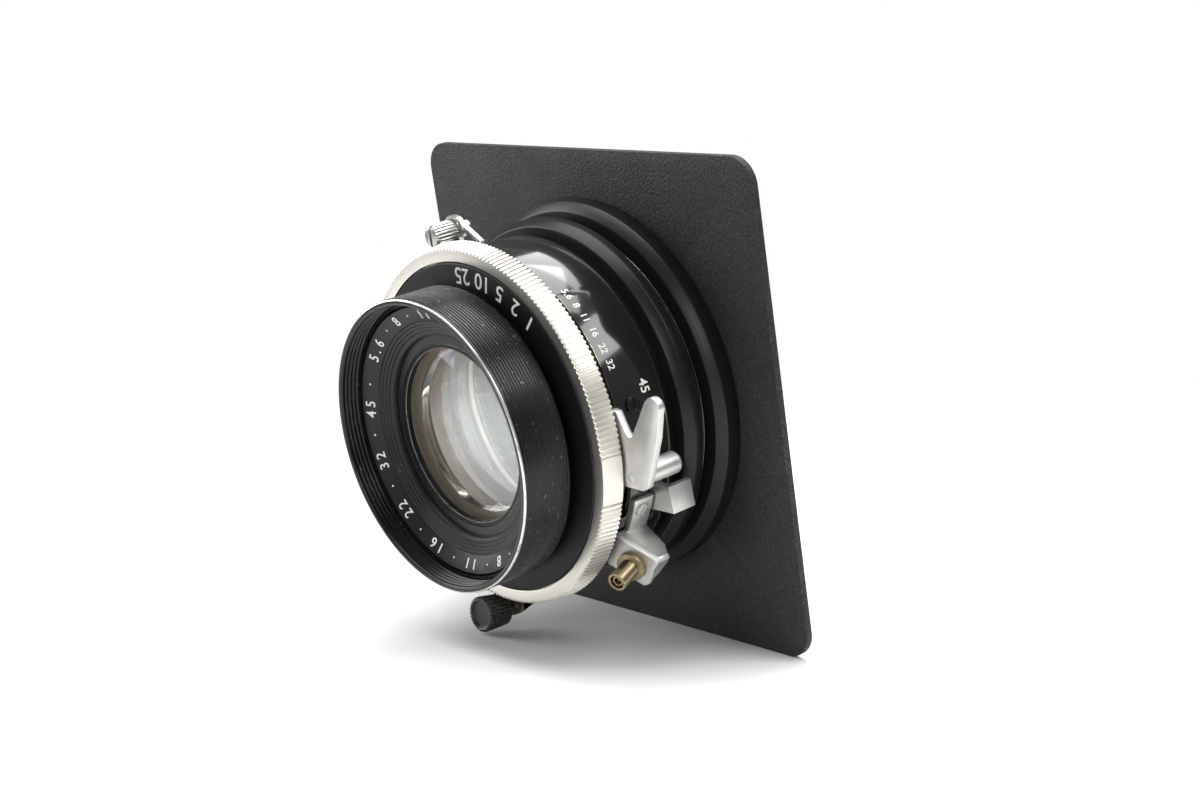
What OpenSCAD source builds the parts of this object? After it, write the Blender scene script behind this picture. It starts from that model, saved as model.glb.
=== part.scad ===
// Leaf-shutter lens on a square lens board, for a view camera.
// Frame: origin on the lens axis in the board's rear face, lens facing -Y, +Z up, +X right.
// Inside lens() a length along z is a distance forward of the board's rear face.

/* [Lens board] */
// Side of the square board
board_side = 80; // [70:0.5:96]
// Board thickness
board_thick = 2; // [1.6:0.1:2.5]
// Thickness of the board's edge, in front of the step at its back
board_edge = 1.2; // [0.8:0.1:1.6]
// How far the lens axis lies above the board's centre
board_drop = 0.9; // [0:0.1:3]
// Radius of the board's corners
board_corner = 4.5; // [2:0.5:8]

/* [Extension ring] */
// Radius of the large step against the board
step_large = 31.2; // [30.5:0.1:33]
// Radius of the small step under the shutter
step_small = 29.5; // [28.5:0.1:30]
// Radius of the hollow behind the shutter
extension_bore = 24; // [21:0.5:25]

/* [Shutter] */
// Outer radius of the shutter case
case_r = 27.6; // [27.5:0.05:27.7]
// Wall of the shutter case
case_wall = 1; // [0.9:0.05:1.1]
// Clear radius of the light path
aperture_r = 13.7; // [12.5:0.1:13.7]
// Thickness of one iris leaf or shutter blade
leaf_thick = 0.12; // [0.08:0.02:0.14]

/* [Speed ring] */
// Outer radius at the ring's rear edge
speed_r = 29.6; // [29.2:0.1:30]
// Outer radius at the ring's front edge
speed_front_r = 29.05; // [28.6:0.05:29.1]

/* [Lens cells] */
// Outer radius of the front barrel
front_r = 23.73; // [23.4:0.01:24]
// Radius of the filter thread's wall
filter_r = 22.6; // [22.4:0.05:22.8]
// Distance from the board's rear face to the front rim
front_rim = 39.3; // [38.8:0.1:42]
// Outer radius of the rear barrel
rear_r = 19; // [17:0.5:20]
// How far the rear barrel stands behind the board
rear_out = 7; // [5:0.5:12]

/* [Controls] */
// Distance of the aperture knob from the optical axis
knob_reach = 34; // [33.8:0.1:36]
// Front radius of the aperture knob
knob_r = 3; // [2.6:0.1:3.1]
// Outer radius of the flash socket
socket_r = 1.5; // [1.3:0.05:1.75]
// Radius of the knurled lock screw
lock_r = 2; // [1.6:0.1:2.1]

/* [Hidden] */
$fn = 96;

// Depths forward of the board's rear face
flange_rear = 8.4;
flange_front = 11.5;
case_rear = 13.6;
screw_circle = 27.5;
case_front = 26.4;
inner_r = case_r - case_wall;
slide_gap = 0.08;
mount_r = 16.25;
cell_thread_r = 14.75;
plate_rear = 19.5;
plate_front = 20.1;

// Control ring depths: cocking ring, aperture ring, blade ring
cock_rear = 23.4;
cock_front = 24.6;
aperture_rear = 22;
aperture_front = 22.7;
blade_ring_rear = 17.5;
blade_ring_front = 18.1;

// Iris and shutter blade mechanisms: count, pivot radius, outer edge, band length in degrees,
// swing of a leaf, ring turn for one degree of leaf, drive arm length
iris_count = 7;
iris_pivot_r = 22.6;
iris_outer = 21.5;
iris_span = 105;
iris_swing = 30;
iris_gain = -1.2;
iris_arm = 4.2;
blade_count = 5;
blade_pivot_r = 23.6;
blade_outer = 21.9;
blade_span = 120;
blade_swing = 34;
blade_gain = -0.7;
blade_arm = 3.6;
drive_start = -95;
pivot_pin_r = 0.6;
drive_pin_r = 0.45;
pin_gap = 0.07;
level_pitch = 0.24;
iris_first = 20.2;
blade_first = 19.28;
iris_turn = 12;
blade_turn = 31;

// Controls around the case, as angles in degrees seen from the front
knob_angle = -101;
bracket_angle = -34;
bracket_tilt = 20;
lock_angle = 110.6;
lock_reach = 31.2;
release_pivot_at = [19.6, -7.9];
stud_at = [30.4, -5];
barrel_screw_angle = 9.8;
barrel_screw_depth = 19.8;
bracket_screw_angle = -25.5;
bracket_screw_depth = 19.7;

// Radius and depth of the bracket's fold
bracket_fold = [28.4, 23.3];

module lens() {
    rotate([90, 0, 0]) children();
}

module ring(outer, inner, from, to) {
    translate([0, 0, from])
        difference() {
            cylinder(r = outer, h = to - from);
            translate([0, 0, -1]) cylinder(r = inner, h = to - from + 2);
        }
}

module rod(r, from, to) {
    translate([0, 0, from]) cylinder(r = r, h = to - from);
}

// A body of revolution about the optical axis, from [radius, depth] points
module turned(points) {
    rotate_extrude() polygon(points);
}

// A wedge of space between two angles, for cutting slots in a wall
module wedge(start, end, reach, from, to) {
    steps = 12;
    arc = [for (i = [0:steps]) start + (end - start) * i / steps];
    translate([0, 0, from])
        linear_extrude(to - from)
            polygon(concat([[0, 0]], [for (a = arc) reach * [cos(a), sin(a)]]));
}

// Turns +z to point outwards along x, starting at radius r
module along_x(r) {
    translate([r, 0, 0]) rotate([0, 90, 0]) children();
}

// A hole through the case wall at an angle and a depth
module side_hole(angle, depth, r) {
    rotate(angle) translate([0, 0, depth]) along_x(26) cylinder(r = r, h = 4, $fn = 24);
}

// A slotted screw head with its shank, axis along +x from radius r
module radial_screw(r, head_r, head_h, shank_r, shank_l) {
    along_x(r) {
        difference() {
            cylinder(r = head_r, h = head_h, $fn = 32);
            translate([-head_r * 0.16, -head_r - 1, head_h * 0.5])
                cube([head_r * 0.32, 2 * head_r + 2, head_h]);
        }
        translate([0, 0, -shank_l]) cylinder(r = shank_r, h = shank_l + 0.1, $fn = 24);
    }
}

// ---- Board and its extension ring

module rounded_square(side, corner) {
    flat = side - 2 * corner;
    square([side, flat], center = true);
    square([flat, side], center = true);
    for (x = [-1, 1], y = [-1, 1])
        translate([x, y] * flat / 2) circle(r = corner);
}

module lens_board() {
    step = 3;
    color([0.09, 0.085, 0.08])
        lens()
            difference() {
                translate([0, -board_drop, 0]) {
                    linear_extrude(board_thick)
                        rounded_square(board_side - 2 * step, board_corner - 1);
                    translate([0, 0, board_thick - board_edge])
                        linear_extrude(board_edge) rounded_square(board_side, board_corner);
                }
                translate([0, 0, -1]) cylinder(r = extension_bore, h = board_thick + 2);
                for (a = [45:90:315])
                    rotate(a)
                        translate([screw_circle, 0, 0]) {
                            rod(1.35, -1, 1.3, $fn = 32);
                            rod(0.9, 1, board_thick + 1, $fn = 32);
                        }
            }
}

module board_extension() {
    groove_r = step_small - 2.2;
    color([0.07, 0.07, 0.07])
        lens()
            difference() {
                turned([
                    [extension_bore, board_thick], [step_large, board_thick],
                    [step_large, 4.8], [step_large - 1.4, 6.1], [groove_r, 6.1],
                    [groove_r, flange_rear], [step_small, flange_rear], [step_small, 10],
                    [step_small - 1, flange_front], [mount_r + 0.1, flange_front],
                    [mount_r + 0.1, flange_rear], [extension_bore - 1, flange_rear],
                    [extension_bore, flange_rear - 1]
                ]);
                for (a = [45:90:315])
                    rotate(a) translate([screw_circle, 0, 0]) rod(0.88, 1.5, 4.8, $fn = 32);
            }
}

module extension_screws() {
    color("dimgray")
        lens()
            for (a = [45:90:315])
                rotate(a)
                    translate([screw_circle, 0, 0]) {
                        difference() {
                            rod(1.2, 0.1, 1.3, $fn = 32);
                            translate([-0.2, -2, -0.5]) cube([0.4, 4, 1]);
                        }
                        rod(0.85, 1.2, 4.6, $fn = 32);
                    }
}

module retaining_ring() {
    color([0.1, 0.1, 0.1])
        lens()
            difference() {
                ring(20.5, mount_r + 0.05, 5.9, flange_rear);
                for (a = [0, 180])
                    rotate(a) translate([18.4, -1, 5]) cube([3, 2, 2]);
            }
}

// ---- Shutter housing

module shutter_case() {
    boss_r = 21.9;
    tube_r = 15.6;
    color([0.05, 0.05, 0.05])
        lens()
            difference() {
                union() {
                    ring(case_r, inner_r, case_rear, case_front);
                    ring(case_r, tube_r - 0.2, 25.6, case_front);
                    ring(boss_r, cell_thread_r, case_front - 0.2, 27.9);
                    ring(tube_r, cell_thread_r, 23.2, case_front);
                }
                case_slots();
                for (a = [90:120:330])
                    rotate(a) translate([18.6, 0, 26.5]) cylinder(r = 0.7, h = 3, $fn = 24);
                side_hole(bracket_screw_angle, bracket_screw_depth, 0.55);
                side_hole(barrel_screw_angle, barrel_screw_depth, 0.75);
            }
}

// Openings in the side wall for the three levers
module case_slots() {
    difference() {
        union() {
            wedge(-15.5, 52, 40, 23.1, 24.9);
            wedge(-28, -12, 40, 21.6, 24.9);
            wedge(-142, -95, 40, 21.7, 22.95);
            wedge(-36, -15, 40, 15.9, 17.45);
        }
        translate([0, 0, 10]) cylinder(r = inner_r - 1, h = 20);
    }
}

module shutter_base() {
    color([0.08, 0.08, 0.08])
        lens()
            difference() {
                union() {
                    ring(26.4, mount_r - 0.2, flange_front, case_rear);
                    ring(inner_r - 0.05, mount_r - 0.2, case_rear - 0.1, 14.3);
                    ring(mount_r, cell_thread_r, 5.2, 14.3);
                }
                translate([release_pivot_at[0], release_pivot_at[1], 13])
                    cylinder(r = 0.85, h = 3, $fn = 32);
                for (a = [60:120:300])
                    rotate(a) translate([22.5, 0, 12.4]) cylinder(r = 0.65, h = 3, $fn = 24);
            }
}

// Screws that hold the base, heads inside the case
module base_screws() {
    color("silver")
        lens()
            for (a = [60:120:300])
                rotate(a)
                    translate([22.5, 0, 0]) {
                        rod(0.6, 12.5, 14.4, $fn = 24);
                        difference() {
                            rod(1.2, 14.35, 15, $fn = 32);
                            translate([-0.15, -2, 14.7]) cube([0.3, 4, 1]);
                        }
                    }
}

module front_plate() {
    color([0.09, 0.09, 0.09])
        lens()
            turned([
                [cell_thread_r + 0.25, 27.95], [26.8, 27.95], [26.8, 28.3], [26.6, 28.5],
                [cell_thread_r + 0.25, 28.5]
            ]);
}

// Ring that sets the shutter speed; it turns on the case's front boss
module speed_ring() {
    color([0.82, 0.81, 0.77])
        lens()
            turned([
                [21.98, 26.65], [27.72, 26.65], [27.72, 25], [speed_r, 25],
                [speed_front_r + 0.1, 28.1], [speed_front_r - 0.2, 28.4], [speed_front_r - 0.5, 28.5],
                [27.2, 28.5], [26.95, 28.3], [26.95, 27.6], [21.98, 27.6]
            ]);
}

// ---- Cocking lever: a ring in the case with a bent finger blade

module cocking_lever() {
    color([0.72, 0.72, 0.7])
        lens()
            difference() {
                union() {
                    ring(inner_r - slide_gap, 15.6 + slide_gap, cock_rear, cock_front);
                    translate([0, 0, cock_rear])
                        linear_extrude(cock_front - cock_rear)
                            polygon([
                                [25, -6.3], [32.8, -6.6], [33.8, -6.1], [34.4, -4.8], [37.4, 2],
                                [38.8, 6.9], [35.8, 7.6], [33.3, 3.8], [31.9, 1.7], [31.2, 1.5],
                                [30.5, 2.1], [29.1, 5.2], [27.8, 5.4], [25, 4.6]
                            ]);
                    translate([37.3, 6.9, 0]) rod(1.5, cock_rear, cock_front, $fn = 48);
                }
                translate([stud_at[0], stud_at[1], cock_rear - 1]) cylinder(r = 0.8, h = 4, $fn = 32);
                for (a = [150:60:270])
                    rotate(a) translate([21, 0, cock_rear - 1]) cylinder(r = 2.5, h = 4, $fn = 32);
            }
}

// Round stud riveted to the back of the blade
module cocking_stud() {
    color([0.75, 0.75, 0.73])
        lens()
            translate([stud_at[0], stud_at[1], 0]) {
                rod(0.78, cock_rear - 0.1, cock_front, $fn = 32);
                rod(1.75, 16, cock_rear, $fn = 48);
                intersection() {
                    translate([0, 0, 16.9]) sphere(r = 1.97, $fn = 48);
                    rod(1.75, 14.8, 16.05, $fn = 48);
                }
            }
}

// ---- Iris and shutter blades

// Position of a leaf's drive pin in the mechanism's frame, for a leaf angle
function drive_pin(pivot_r, arm, angle) =
    [pivot_r, 0] + arm * [cos(drive_start + angle), sin(drive_start + angle)];

function turn2(p, a) = [p[0] * cos(a) - p[1] * sin(a), p[0] * sin(a) + p[1] * cos(a)];

// Centre line of a control ring's slot: the pin's path seen from the turning ring
function slot_at(pivot_r, arm, gain, angle) = turn2(drive_pin(pivot_r, arm, angle), -gain * angle);

function slot_side(pivot_r, arm, gain, angle, half) =
    let (p = slot_at(pivot_r, arm, gain, angle))
    let (q = slot_at(pivot_r, arm, gain, angle + 0.1))
    let (d = (q - p) / norm(q - p))
    p + half * [-d[1], d[0]];

module cam_slot(pivot_r, arm, gain, swing, from, to) {
    over = 2;
    steps = 14;
    half = drive_pin_r + pin_gap;
    angles = [for (i = [0:steps]) -over + (swing + 2 * over) * i / steps];
    outline = concat(
        [for (i = [0:steps]) slot_side(pivot_r, arm, gain, angles[i], half)],
        [for (i = [0:steps]) slot_side(pivot_r, arm, gain, angles[steps - i], -half)]
    );
    translate([0, 0, from]) linear_extrude(to - from) polygon(outline);
}

function arc(centre, r, from, to, steps) =
    [for (i = [0:steps]) let (a = from + (to - from) * i / steps) centre + r * [cos(a), sin(a)]];

// Outline of a leaf: a curved band outside the light path with a round tip, an eye at its
// pivot and a tail for the drive pin
function leaf_outline(pivot_r, outer, span, tail) =
    let (mid = (aperture_r + outer) / 2)
    let (half = (outer - aperture_r) / 2)
    concat(
        arc([0, 0], outer, 5, span, 30),
        arc(mid * [cos(span), sin(span)], half, span + 12, span + 168, 12),
        arc([0, 0], aperture_r, span, 1, 30),
        [[pivot_r - 3, -1]],
        arc(tail, 0.8, 170, 370, 10),
        arc([pivot_r, 0], 1.5, -50, 110, 10)
    );

module leaf(pivot_r, outer, span, arm, from, pin_from, pin_to) {
    tail = drive_pin(pivot_r, arm, 0);
    difference() {
        union() {
            translate([0, 0, from])
                linear_extrude(leaf_thick) polygon(leaf_outline(pivot_r, outer, span, tail));
            translate([tail[0], tail[1], pin_from])
                cylinder(r = drive_pin_r, h = pin_to - pin_from, $fn = 24);
        }
        translate([pivot_r, 0, from - 1]) cylinder(r = pivot_pin_r + pin_gap, h = 2, $fn = 32);
    }
}

module iris_leaf(i) {
    level = iris_first + i * level_pitch;
    color([0.16, 0.16, 0.18])
        lens()
            rotate(iris_turn + i * 360 / iris_count)
                leaf(iris_pivot_r, iris_outer, iris_span, iris_arm, level, level, aperture_front);
}

module shutter_blade(i) {
    level = blade_first - i * level_pitch;
    color([0.2, 0.2, 0.22])
        lens()
            rotate(blade_turn + i * 360 / blade_count)
                leaf(blade_pivot_r, blade_outer, blade_span, blade_arm, level, blade_ring_rear,
                     level + leaf_thick);
}

// Fixed plate between the iris and the blades; it carries all their pivot pins
module blade_plate() {
    color([0.3, 0.28, 0.24])
        lens() {
            ring(inner_r - 0.05, aperture_r - 0.1, plate_rear, plate_front);
            for (i = [0:iris_count - 1])
                rotate(iris_turn + i * 360 / iris_count)
                    translate([iris_pivot_r, 0, 0])
                        rod(pivot_pin_r, plate_front - 0.1, aperture_rear - 0.08, $fn = 32);
            for (i = [0:blade_count - 1])
                rotate(blade_turn + i * 360 / blade_count)
                    translate([blade_pivot_r, 0, 0])
                        rod(pivot_pin_r, blade_ring_front + 0.08, plate_rear + 0.1, $fn = 32);
        }
}

module blade_ring() {
    color([0.6, 0.52, 0.35])
        lens()
            difference() {
                ring(inner_r - slide_gap, 21.3, blade_ring_rear, blade_ring_front);
                for (i = [0:blade_count - 1])
                    rotate(blade_turn + i * 360 / blade_count)
                        cam_slot(blade_pivot_r, blade_arm, blade_gain, blade_swing,
                                 blade_ring_rear - 1, blade_ring_front + 1);
            }
}

// Ring that closes the iris, with the arm that carries the aperture knob
module aperture_ring() {
    color([0.62, 0.55, 0.38])
        lens()
            difference() {
                union() {
                    ring(inner_r - slide_gap, 20.6, aperture_rear, aperture_front);
                    rotate(knob_angle)
                        translate([25.6, -1.5, aperture_rear])
                            cube([knob_reach - 25.6, 3, aperture_front - aperture_rear]);
                    rotate(knob_angle)
                        translate([knob_reach, 0, aperture_rear])
                            cylinder(r = 1.5, h = aperture_front - aperture_rear, $fn = 48);
                }
                for (i = [0:iris_count - 1])
                    rotate(iris_turn + i * 360 / iris_count)
                        cam_slot(iris_pivot_r, iris_arm, iris_gain, iris_swing,
                                 aperture_rear - 1, aperture_front + 1);
            }
}

// Black knurled knob, riveted on the arm and leaning a little towards the lens
module aperture_knob() {
    neck = 2.6;
    body = 5;
    color([0.1, 0.1, 0.1])
        lens()
            rotate(knob_angle)
                translate([knob_reach, 0, aperture_front])
                    rotate([0, -8, 0])
                        rotate_extrude()
                            polygon([
                                [0, 0.22], [1.5, 0.22], [1.5, 0.8], [1.3, 0.9], [1.3, neck - 0.4],
                                [1.8, neck], [knob_r - 0.4, neck + 0.3], [knob_r, neck + body - 0.3],
                                [knob_r - 0.2, neck + body], [knob_r - 0.6, neck + body],
                                [knob_r - 0.8, neck + body - 0.4], [0, neck + body - 0.55]
                            ]);
}

// ---- Release lever with its pivot and spring

module release_lever() {
    color([0.72, 0.72, 0.7])
        lens()
            difference() {
                union() {
                    translate([release_pivot_at[0], release_pivot_at[1], 16.2])
                        cylinder(r = 2.2, h = 1, $fn = 48);
                    translate([0, 0, 16.2])
                        linear_extrude(1)
                            polygon([
                                [19, -6.2], [24, -8.3], [29.9, -8.8], [30.3, -13], [24.6, -13],
                                [22, -10.6], [19, -9.9]
                            ]);
                    translate([0, 0, 12.7])
                        linear_extrude(4.5)
                            polygon([[29, -8.7], [29.9, -8.8], [30.3, -13], [29.4, -13]]);
                }
                translate([release_pivot_at[0], release_pivot_at[1], 15])
                    cylinder(r = 0.88, h = 4, $fn = 32);
            }
}

module release_pivot() {
    color("silver")
        lens()
            translate([release_pivot_at[0], release_pivot_at[1], 0]) {
                rod(0.82, 13.1, 17.25, $fn = 32);
                rod(1.5, 14.32, 14.6, $fn = 32);
            }
}

// Torsion spring round the pivot post, behind the lever
function coil(turns, r, rise, steps) = [
    for (i = [0:steps])
        let (a = 360 * turns * i / steps)
        [r * cos(a), r * sin(a), rise * i / steps]
];

module swept(path, wire, sides) {
    last = len(path) - 1;
    tangents = [for (i = [0:last]) path[min(i + 1, last)] - path[max(i - 1, 0)]];
    points = [
        for (i = [0:last])
            let (t = tangents[i] / norm(tangents[i]))
            let (u = cross(t, [0, 0, 1]))
            let (n = u / norm(u))
            let (b = cross(t, n))
            for (k = [0:sides - 1])
                let (a = 360 * k / sides)
                path[i] + wire * (n * cos(a) + b * sin(a))
    ];
    faces = concat(
        [[for (k = [0:sides - 1]) sides - 1 - k]],
        [for (i = [0:last - 1], k = [0:sides - 1])
            let (here = i * sides)
            let (next = here + sides)
            let (beside = (k + 1) % sides)
            [here + k, here + beside, next + beside, next + k]],
        [[for (k = [0:sides - 1]) last * sides + k]]
    );
    polyhedron(points, faces);
}

module release_spring() {
    wire = 0.16;
    path = concat(
        [[1.3, -5.5, 0], [1.3, -3, 0], [1.3, -1, 0]],
        coil(2.75, 1.3, 1.05, 44),
        [[-1, -1.35, 1.05], [-3, -1.5, 1.05]]
    );
    color([0.7, 0.68, 0.6])
        lens()
            translate([release_pivot_at[0], release_pivot_at[1], 14.85])
                swept(path, wire, 8);
}

// ---- Flash socket on its bracket

module barrel_screw() {
    color([0.1, 0.1, 0.1])
        lens()
            rotate(barrel_screw_angle)
                translate([0, 0, barrel_screw_depth]) radial_screw(case_r, 1.25, 0.45, 0.7, 0.8);
}

// The frame of the bracket's tilted front face, starting at its fold
module bracket_front() {
    translate([bracket_fold[0], 0, bracket_fold[1]]) rotate([0, bracket_tilt, 0]) children();
}

module socket_bracket() {
    thick = 0.8;
    shelf_in = case_r + 0.25;
    color([0.76, 0.76, 0.74])
        lens()
            difference() {
                union() {
                    rotate(bracket_angle) {
                        translate([0, thick / 2, 0])
                            rotate([90, 0, 0])
                                linear_extrude(thick)
                                    polygon([
                                        [shelf_in, 17.6], [33.2, 17.6], [34.9, 18.6], [35.45, 20.74],
                                        bracket_fold, [shelf_in, 22.6]
                                    ]);
                        bracket_front()
                            translate([0, 0, -thick])
                                linear_extrude(thick)
                                    polygon([
                                        [0, thick / 2], [7.5, thick / 2], [7.5, -4.9], [6.6, -5.9],
                                        [0, -5.9]
                                    ]);
                        translate([34.6, 0, 0])
                            rotate([0, 90, 0])
                                linear_extrude(thick)
                                    polygon([
                                        [-20.9, thick / 2], [-18.5, thick / 2], [-18.5, -1],
                                        [-19.6, -3], [-20.9, -4.6]
                                    ]);
                    }
                    intersection() {
                        ring(case_r + 0.85, case_r + 0.05, 17.5, 21.3);
                        wedge(bracket_angle - 0.8, -21.5, 40, 17, 22);
                    }
                }
                side_hole(bracket_screw_angle, bracket_screw_depth, 0.55);
                socket_place() translate([0, 0, -2]) cylinder(r = 1.15, h = 3, $fn = 32);
            }
}

module bracket_screw() {
    color([0.7, 0.7, 0.68])
        lens()
            rotate(bracket_screw_angle)
                translate([0, 0, bracket_screw_depth])
                    radial_screw(case_r + 0.85, 1.1, 0.5, 0.5, 1.6);
}

// The socket's own frame: z along its axis, starting on the bracket's front face
module socket_place() {
    rotate(bracket_angle) bracket_front() translate([3.8, -3.4, 0]) children();
}

module socket_shell() {
    color([0.62, 0.55, 0.38])
        lens()
            socket_place()
                difference() {
                    union() {
                        rod(2.35, 0, 0.8, $fn = 64);
                        rod(socket_r, 0.7, 5, $fn = 64);
                        rod(1.1, -1.3, 0.1, $fn = 48);
                    }
                    rod(1.1, 0.8, 6, $fn = 48);
                    rod(0.7, -2, 1, $fn = 32);
                }
}

module socket_insulator() {
    color([0.12, 0.1, 0.08])
        lens()
            socket_place()
                ring(1.08, 0.36, 0.85, 3.2, $fn = 48);
}

module socket_pin() {
    color([0.8, 0.68, 0.4])
        lens()
            socket_place() {
                rod(0.33, -1.6, 4.2, $fn = 32);
                ring(0.85, 0.6, 3.25, 4.7, $fn = 32);
                rod(0.8, 3.22, 3.4, $fn = 32);
            }
}

// ---- Knurled lock screw in a bent strap

module lock_place() {
    rotate(lock_angle) translate([lock_reach, 0, 0]) children();
}

module lock_clip() {
    clip_rear = 19.1;
    clip_front = 19.95;
    width = clip_front - clip_rear;
    color([0.8, 0.8, 0.78])
        lens()
            difference() {
                union() {
                    lock_place() {
                        difference() {
                            ring(2.6, 2, clip_rear, clip_front, $fn = 48);
                            translate([-5.6, -5, 18]) cube([5, 10, 3]);
                        }
                        rod(1.5, clip_rear, clip_front, $fn = 32);
                        translate([-3.4, -0.7, clip_rear]) cube([3.2, 1.4, width]);
                        translate([-0.5, -2.53, clip_rear]) rotate(-140) cube([4.9, 0.6, width]);
                    }
                    intersection() {
                        ring(case_r + 0.65, case_r + 0.05, clip_rear, clip_front);
                        wedge(97, 113, 40, 17, 22);
                    }
                }
                lock_place() rod(0.85, 17, 21, $fn = 32);
            }
}

module lock_screw() {
    color([0.85, 0.85, 0.84])
        lens()
            lock_place()
                difference() {
                    union() {
                        rod(lock_r, 20.2, 24.2, $fn = 64);
                        rod(lock_r - 0.25, 24.1, 24.6, $fn = 64);
                        rod(0.8, 17.2, 20.3, $fn = 32);
                        rod(1.3, 17.2, 18.1, $fn = 32);
                    }
                    translate([-0.25, -5, 23.7]) cube([0.5, 10, 2]);
                }
}

// ---- Front lens cell

module front_barrel() {
    thread_front = front_rim - 0.4;
    seat = 32.7;
    color([0.06, 0.06, 0.06])
        lens()
            turned([
                [13, 23.6], [cell_thread_r - 0.05, 23.6], [cell_thread_r - 0.05, 28.6], [19.5, 28.6],
                [19.5, 30], [front_r - 0.4, 30], [front_r, 30.6], [front_r, thread_front],
                [front_r - 0.35, front_rim], [filter_r + 0.15, front_rim], [filter_r, thread_front],
                [filter_r, 36], [21.95, 36], [21.95, seat], [14.95, seat], [14.95, 29], [14.2, 28.6],
                [13, 28.6]
            ]);
}

// Sloping ring for the lens data, ridged inside against stray light
module name_ring() {
    ridges = 4;
    ridge_w = 0.54;
    ridge_drop = 0.26;
    top = [19, 34.55];
    steps = [
        for (i = [0:ridges - 1])
            let (r = top[0] - i * ridge_w)
            let (f = top[1] - i * ridge_drop)
            each [[r, f], [r - 0.08, f - 0.22], [r - ridge_w + 0.08, f - 0.22]]
    ];
    color([0.1, 0.1, 0.1])
        lens()
            turned(concat(
                [[16.3, 32.75], [21.9, 32.75], [21.9, 35.6], [21.6, 35.9]], steps,
                [[16.84, 33.5], [16.6, 33.4]]
            ));
}

module front_retainer() {
    color([0.08, 0.08, 0.08])
        lens() ring(14.9, 14.2, 31.55, 32.6);
}

// A glass disc with spherical faces. Positive radii bulge outwards, negative ones are hollow.
module glass(r, rear, front, rear_curve, front_curve) {
    difference() {
        intersection() {
            rod(r, rear - 6, front + 6);
            if (front_curve > 0)
                translate([0, 0, front - sqrt(front_curve * front_curve - r * r)])
                    sphere(r = front_curve);
            else
                rod(r + 1, rear - 7, front);
            if (rear_curve > 0)
                translate([0, 0, rear + sqrt(rear_curve * rear_curve - r * r)])
                    sphere(r = rear_curve);
            else
                rod(r + 1, rear, front + 7);
        }
        if (front_curve < 0)
            translate([0, 0, front + sqrt(front_curve * front_curve - (r - 0.4) * (r - 0.4))])
                sphere(r = -front_curve);
        if (rear_curve < 0)
            translate([0, 0, rear - sqrt(rear_curve * rear_curve - (r - 0.4) * (r - 0.4))])
                sphere(r = -rear_curve);
    }
}

module front_glass_1() {
    color([0.8, 0.75, 0.7, 0.4]) lens() glass(14.85, 29.1, 31.2, -60, 44);
}

module front_glass_2() {
    color([0.8, 0.8, 0.8, 0.4]) lens() glass(12.9, 26.2, 28.3, -40, 50);
}

module front_glass_3() {
    color([0.8, 0.8, 0.8, 0.4]) lens() glass(12.9, 23.7, 25.9, 60, -40);
}

// ---- Rear lens cell

module rear_barrel() {
    back = -rear_out;
    color([0.06, 0.06, 0.06])
        lens()
            turned([
                [13, 12.6], [cell_thread_r - 0.05, 12.6], [cell_thread_r - 0.05, 4.9], [rear_r - 0.6, 4.9],
                [rear_r, 4.3], [rear_r, back + 0.5], [rear_r - 0.5, back], [15.3, back], [15, back + 1.6],
                [15, 2.5], [13, 2.5]
            ]);
}

module rear_glass_1() {
    color([0.8, 0.8, 0.8, 0.4]) lens() glass(12.9, 9.6, 12.2, -45, 60);
}

module rear_glass_2() {
    color([0.8, 0.8, 0.8, 0.4]) lens() glass(12.9, 6, 8.6, 50, -40);
}

module rear_glass_3() {
    color([0.8, 0.75, 0.7, 0.4]) lens() glass(14.9, -3, 0.5, 44, -60);
}

module rear_retainer() {
    color([0.08, 0.08, 0.08])
        lens() ring(14.95, 14.2, -rear_out + 2, -rear_out + 3.6);
}

lens_board();
board_extension();
extension_screws();
retaining_ring();
shutter_case();
shutter_base();
base_screws();
front_plate();
speed_ring();
cocking_lever();
cocking_stud();
aperture_ring();
aperture_knob();
iris_leaf(0);  // iris_leaf_1
iris_leaf(1);  // iris_leaf_2
iris_leaf(2);  // iris_leaf_3
iris_leaf(3);  // iris_leaf_4
iris_leaf(4);  // iris_leaf_5
iris_leaf(5);  // iris_leaf_6
iris_leaf(6);  // iris_leaf_7
blade_plate();
shutter_blade(0);  // shutter_blade_1
shutter_blade(1);  // shutter_blade_2
shutter_blade(2);  // shutter_blade_3
shutter_blade(3);  // shutter_blade_4
shutter_blade(4);  // shutter_blade_5
blade_ring();
release_lever();
release_pivot();
release_spring();
barrel_screw();
socket_bracket();
bracket_screw();
socket_shell();
socket_insulator();
socket_pin();
lock_clip();
lock_screw();
front_barrel();
name_ring();
front_retainer();
front_glass_1();
front_glass_2();
front_glass_3();
rear_barrel();
rear_glass_1();
rear_glass_2();
rear_glass_3();
rear_retainer();
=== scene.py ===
from math import atan2, cos, degrees, hypot, pi, radians, sin

import bpy
from mathutils import Matrix, Vector


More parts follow.
